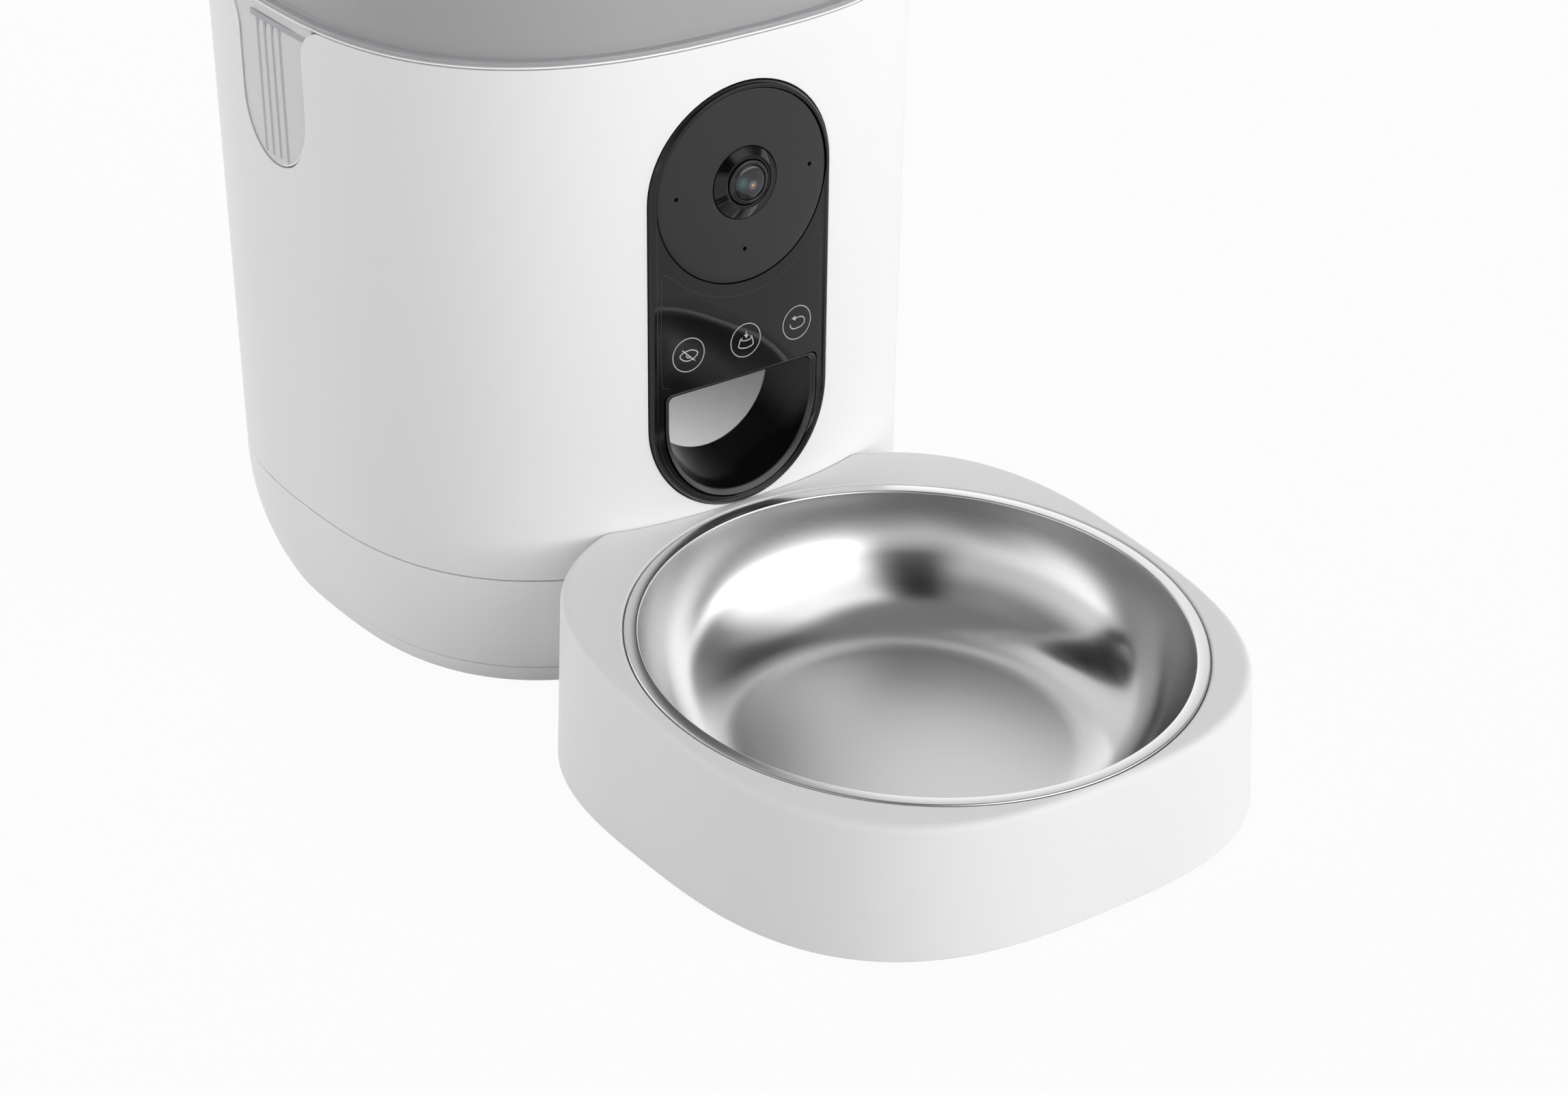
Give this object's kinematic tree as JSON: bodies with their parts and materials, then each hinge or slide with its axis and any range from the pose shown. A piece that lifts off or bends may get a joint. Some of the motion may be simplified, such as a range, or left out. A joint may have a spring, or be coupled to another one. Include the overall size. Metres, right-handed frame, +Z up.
{
  "type": "automatic pet feeder",
  "caption": "Automatic pet feeder: a rounded-square tower with a clear food tank, a camera and touch keys on a black front panel, and a pull-out tray with a leaning steel bowl.",
  "frame": {"origin": "on the floor, under the middle of the whole object's bounding box", "axes": "+Z up; the front, with the panel and the bowl, faces -Y; +X is to the right seen from the front"},
  "size_m": [0.1752, 0.3266, 0.3064],
  "materials": {
    "body_white": "satin",
    "panel_black": "gloss",
    "disc_grey": "satin",
    "chute_grey": "satin",
    "tank_clear": "clear, slightly smoky",
    "bowl_steel": "polished",
    "hardware_steel": "satin",
    "gear_nylon": "satin",
    "board_green": "satin",
    "silicone_grey": "matte",
    "foot_rubber": "matte",
    "lens_glass": "polished",
    "desiccant_paper": "matte"
  },
  "bodies": {
    "tower": {"upper_housing": "body_white", "base_housing": "body_white", "base_plate": "body_white", "front_panel": "panel_black", "lens_cone": "panel_black", "outlet_tunnel": "panel_black", "camera_disc": "disc_grey", "lens_barrel": "disc_grey", "battery_box": "disc_grey", "power_inlet": "disc_grey", "speaker": "disc_grey", "chute": "chute_grey", "mid_frame": "chute_grey", "base_screw_1": "hardware_steel", "base_screw_2": "hardware_steel", "base_screw_3": "hardware_steel", "base_screw_4": "hardware_steel", "battery_contact_front": "hardware_steel", "battery_contact_rear": "hardware_steel", "drive_motor": "hardware_steel", "gear_case_lower": "gear_nylon", "gear_case_upper": "gear_nylon", "camera_board": "board_green", "touch_board": "board_green", "main_board": "board_green", "foot_front_left": "foot_rubber", "foot_front_right": "foot_rubber", "foot_rear_left": "foot_rubber", "foot_rear_right": "foot_rubber", "lens_glass": "lens_glass"},
    "battery_door": {"battery_door": "body_white"},
    "hopper": {"hopper": "tank_clear", "rotor_case": "chute_grey", "portion_shield": "chute_grey"},
    "lid": {"lid": "body_white", "lid_seal": "silicone_grey"},
    "desiccant": {"desiccant_holder": "body_white", "desiccant_pack": "desiccant_paper"},
    "tab_left": {"press_tab_left": "tank_clear"},
    "tab_right": {"press_tab_right": "tank_clear"},
    "impeller": {"impeller": "silicone_grey", "stirrer": "silicone_grey"},
    "drive_gear": {"drive_gear": "gear_nylon"},
    "idler_gear": {"idler_gear": "gear_nylon"},
    "motor_rotor": {"motor_pinion": "hardware_steel"},
    "tray": {"bowl_tray": "body_white", "tray_foot_front_left": "foot_rubber", "tray_foot_front_right": "foot_rubber", "tray_foot_rear_left": "foot_rubber", "tray_foot_rear_right": "foot_rubber"},
    "bowl": {"steel_bowl": "bowl_steel"}
  },
  "joints": [
    {"name": "battery_door_slide", "type": "slide", "parent": "tower", "child": "battery_door", "axis": [0, 1, 0], "range_m": [0, 0.006]},
    {"name": "hopper_lift", "type": "slide", "parent": "tower", "child": "hopper", "axis": [0, 0, 1], "range_m": [0, 0.12]},
    {"name": "lid_lift", "type": "slide", "parent": "hopper", "child": "lid", "axis": [0, 0, 1], "range_m": [0, 0.06]},
    {"name": "desiccant_pull", "type": "slide", "parent": "lid", "child": "desiccant", "axis": [0, 0, -1], "range_m": [0, 0.03]},
    {"name": "tab_left_press", "type": "hinge", "parent": "hopper", "child": "tab_left", "pos_m": [-0.086, 0.07841, 0.178], "axis": [0, -1, 0], "range_deg": [0, 6], "stiffness_Nm_per_rad": 0.5},
    {"name": "tab_right_press", "type": "hinge", "parent": "hopper", "child": "tab_right", "pos_m": [0.086, 0.07841, 0.178], "axis": [0, 1, 0], "range_deg": [0, 6], "stiffness_Nm_per_rad": 0.5},
    {"name": "impeller_spin", "type": "hinge", "parent": "hopper", "child": "impeller", "pos_m": [0, 0.07621, 0.11], "axis": [0, 0, 1], "continuous": true},
    {"name": "drive_gear_spin", "type": "hinge", "parent": "tower", "child": "drive_gear", "pos_m": [0, 0.07621, 0.074], "axis": [0, 0, 1], "continuous": true},
    {"name": "idler_gear_spin", "type": "hinge", "parent": "tower", "child": "idler_gear", "pos_m": [0, 0.10471, 0.069], "axis": [0, 0, 1], "continuous": true},
    {"name": "motor_spin", "type": "hinge", "parent": "tower", "child": "motor_rotor", "pos_m": [0, 0.13321, 0.063], "axis": [0, 0, 1], "continuous": true},
    {"name": "tray_pull", "type": "slide", "parent": "tower", "child": "tray", "axis": [0, -1, 0], "range_m": [0, 0.06]},
    {"name": "bowl_lift", "type": "slide", "parent": "tray", "child": "bowl", "axis": [0, -0.0769, 0.997], "range_m": [0, 0.06]}
  ],
  "couplings": [
    {"joint": "drive_gear_spin", "follows": "impeller_spin", "ratio": 1},
    {"joint": "idler_gear_spin", "follows": "impeller_spin", "ratio": -2.8},
    {"joint": "motor_spin", "follows": "impeller_spin", "ratio": 7.84}
  ]
}
